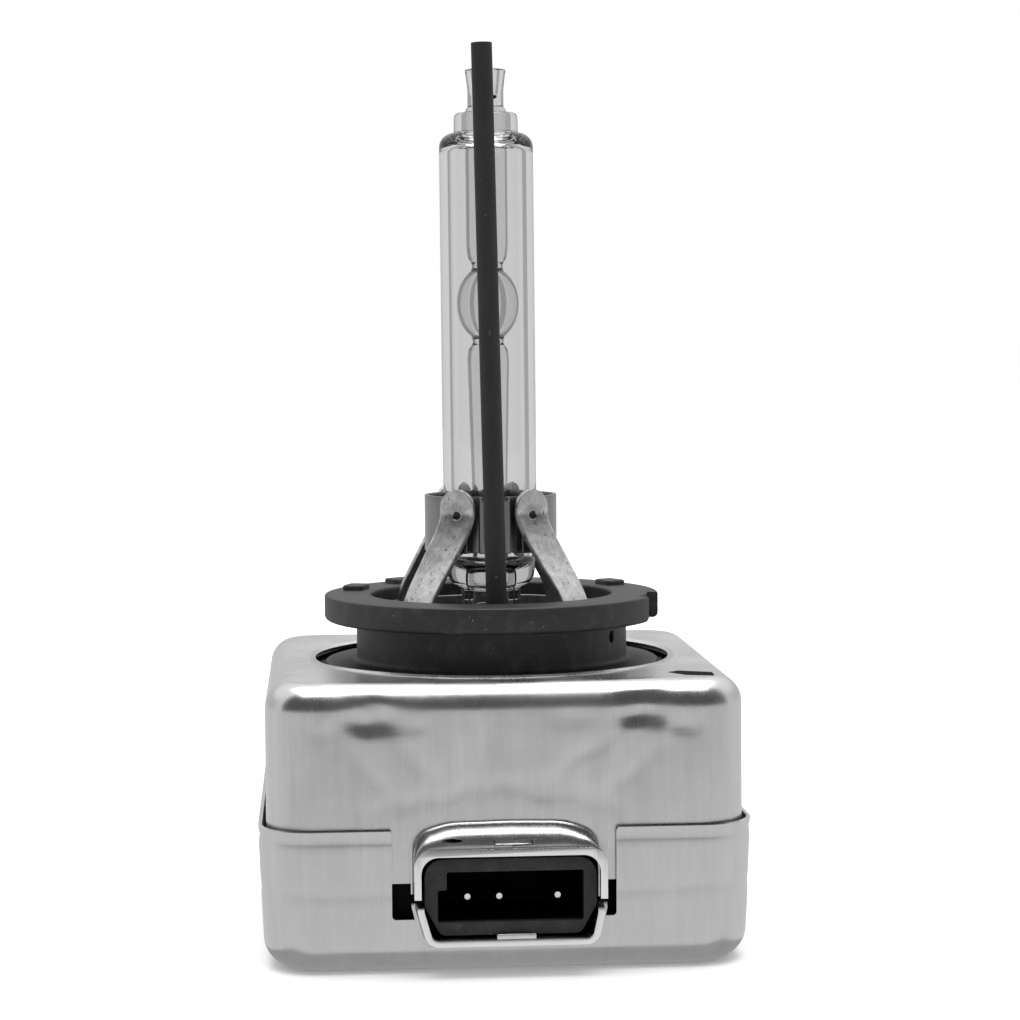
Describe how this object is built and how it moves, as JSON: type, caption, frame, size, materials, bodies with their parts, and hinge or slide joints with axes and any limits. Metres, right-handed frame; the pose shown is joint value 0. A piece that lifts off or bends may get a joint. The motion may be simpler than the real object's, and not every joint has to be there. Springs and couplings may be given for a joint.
{
  "type": "gas-discharge headlight bulb",
  "caption": "Clear two-wall discharge burner on sprung steel legs in a ringed black cap, over a square metal-cased igniter with a keyed plug socket.",
  "frame": {"origin": "on the bulb axis at the underside of the igniter case", "axes": "+Z along the bulb axis towards the glass tip, -Y out of the plug socket, +X to the right seen from the socket side"},
  "size_m": [0.0444, 0.0464, 0.0832],
  "materials": {
    "drawn_aluminium": "drawn sheet, satin, faint vertical draw lines",
    "black_moulding": "glass-filled moulding, matt",
    "contact_metal": "tin plated",
    "strip_steel": "rolled strip, satin",
    "dark_steel": "dull",
    "clear_glass": "clear quartz",
    "refractory_metal": "drawn wire and rolled foil",
    "dark_ceramic": "matt, fired",
    "white_ceramic": "matt, fired",
    "ferrite": "ground, matt",
    "bobbin_plastic": "moulded",
    "enamelled_copper": "enamelled wire",
    "film_capacitor": "dipped",
    "casting_resin": "cast"
  },
  "bodies": {
    "root": {"upper_shield": "drawn_aluminium", "lower_cover": "drawn_aluminium", "lamp_cap": "black_moulding", "igniter_housing": "black_moulding", "contact_pin_1": "contact_metal", "contact_pin_2": "contact_metal", "contact_pin_3": "contact_metal", "weld_sleeve": "dark_steel", "burner_clamp": "strip_steel", "support_leg_front_left": "strip_steel", "support_leg_front_right": "strip_steel", "support_leg_rear_left": "strip_steel", "support_leg_rear_right": "strip_steel", "outer_bulb": "clear_glass", "arc_tube": "clear_glass", "upper_electrode": "refractory_metal", "upper_foil": "refractory_metal", "lower_electrode": "refractory_metal", "lower_foil": "refractory_metal", "upper_lead": "refractory_metal", "lower_lead": "refractory_metal", "ceramic_sleeve": "dark_ceramic", "return_wire": "dark_steel", "high_voltage_terminal": "contact_metal", "return_terminal": "contact_metal", "transformer_core": "ferrite", "transformer_bobbin": "bobbin_plastic", "secondary_winding_1": "enamelled_copper", "secondary_winding_2": "enamelled_copper", "secondary_winding_3": "enamelled_copper", "secondary_winding_4": "enamelled_copper", "primary_winding": "enamelled_copper", "spark_gap_body": "white_ceramic", "spark_gap_cap_front": "contact_metal", "spark_gap_cap_rear": "contact_metal", "pulse_capacitor": "film_capacitor", "bleed_resistor": "bobbin_plastic", "busbar_supply": "contact_metal", "busbar_trigger": "contact_metal", "carrier_plate": "black_moulding", "casting_resin": "casting_resin"}
  },
  "joints": []
}
